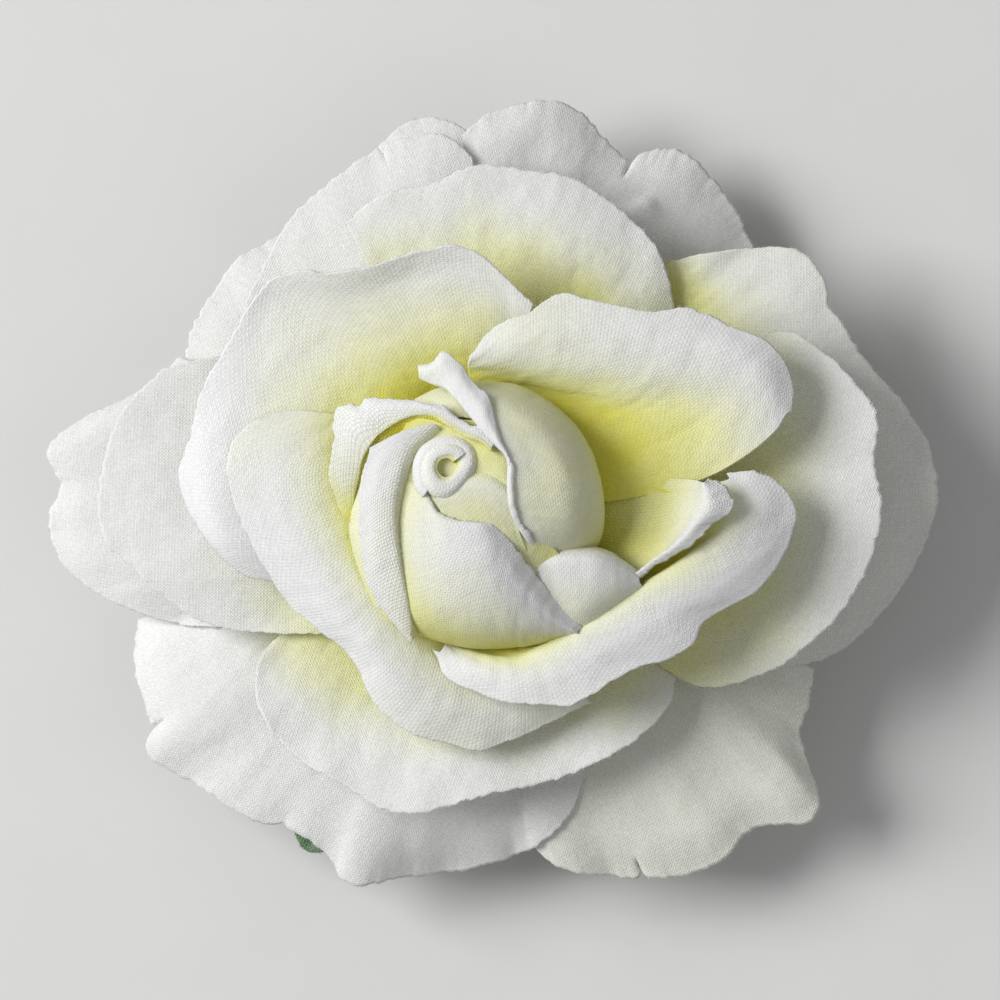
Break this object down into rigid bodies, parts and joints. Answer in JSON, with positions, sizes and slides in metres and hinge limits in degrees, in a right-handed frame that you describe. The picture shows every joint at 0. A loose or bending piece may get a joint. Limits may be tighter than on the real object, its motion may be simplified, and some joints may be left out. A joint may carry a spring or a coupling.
{
  "type": "flower hair clip",
  "caption": "Layered white fabric flower with a leaning rolled bud and small green leaves, glued to a sprung metal alligator clip that opens about its hinge pin.",
  "frame": {"origin": "middle of the clip's flat back face, on the flower's axis", "axes": "+Z is the way the flower faces, away from the head; the clip lies along X with its mouth at -X and its finger levers at +X; +Y is up the face of the flower"},
  "size_m": [0.1097, 0.0968, 0.0485],
  "materials": {
    "petal_cloth": "crisp woven polyester cloth, white going to yellow-green at the petal roots",
    "leaf_cloth": "crinkled woven green cloth",
    "felt": "pressed felt",
    "clip_steel": "nickel-plated pressed steel",
    "pin_steel": "plated rivet",
    "spring_steel": "drawn spring wire",
    "green_plastic": "moulded",
    "core_foam": "moulded foam",
    "clear_washer": "moulded washer",
    "glue": "set hot-melt glue"
  },
  "bodies": {
    "clip_base": {"lower_jaw": "clip_steel", "hinge_pin": "pin_steel", "torsion_spring": "spring_steel"},
    "flower": {"upper_jaw": "clip_steel", "felt_pad": "felt", "glue_disc": "glue", "calyx_cup": "green_plastic", "centre_peg": "green_plastic", "bud_core": "core_foam", "spacer_lower": "clear_washer", "spacer_middle": "clear_washer", "spacer_upper": "clear_washer", "leaf_1": "leaf_cloth", "leaf_2": "leaf_cloth", "leaf_3": "leaf_cloth", "outer_petal_right": "petal_cloth", "outer_petal_upper_right": "petal_cloth", "outer_petal_upper_left": "petal_cloth", "outer_petal_left": "petal_cloth", "outer_petal_lower_left": "petal_cloth", "outer_petal_lower_right": "petal_cloth", "middle_petal_right": "petal_cloth", "middle_petal_top": "petal_cloth", "middle_petal_upper_left": "petal_cloth", "middle_petal_left": "petal_cloth", "middle_petal_bottom": "petal_cloth", "inner_petal_upper_left": "petal_cloth", "inner_petal_upper_right": "petal_cloth", "inner_petal_lower_left": "petal_cloth", "inner_petal_lower_right": "petal_cloth", "bud_petal_left": "petal_cloth", "bud_petal_right": "petal_cloth", "bud_petal_upper_left": "petal_cloth", "bud_petal_front": "petal_cloth", "bud_petal_dome": "petal_cloth", "bud_petal_lower": "petal_cloth", "bud_wrap_outer": "petal_cloth", "bud_wrap_inner": "petal_cloth", "bud_roll": "petal_cloth"}
  },
  "joints": [
    {"name": "jaw_open", "type": "hinge", "parent": "clip_base", "child": "flower", "pos_m": [0.014, 0, 0.0038], "axis": [0, 1, 0], "range_deg": [0, 18], "deforming": ["torsion_spring"]}
  ]
}
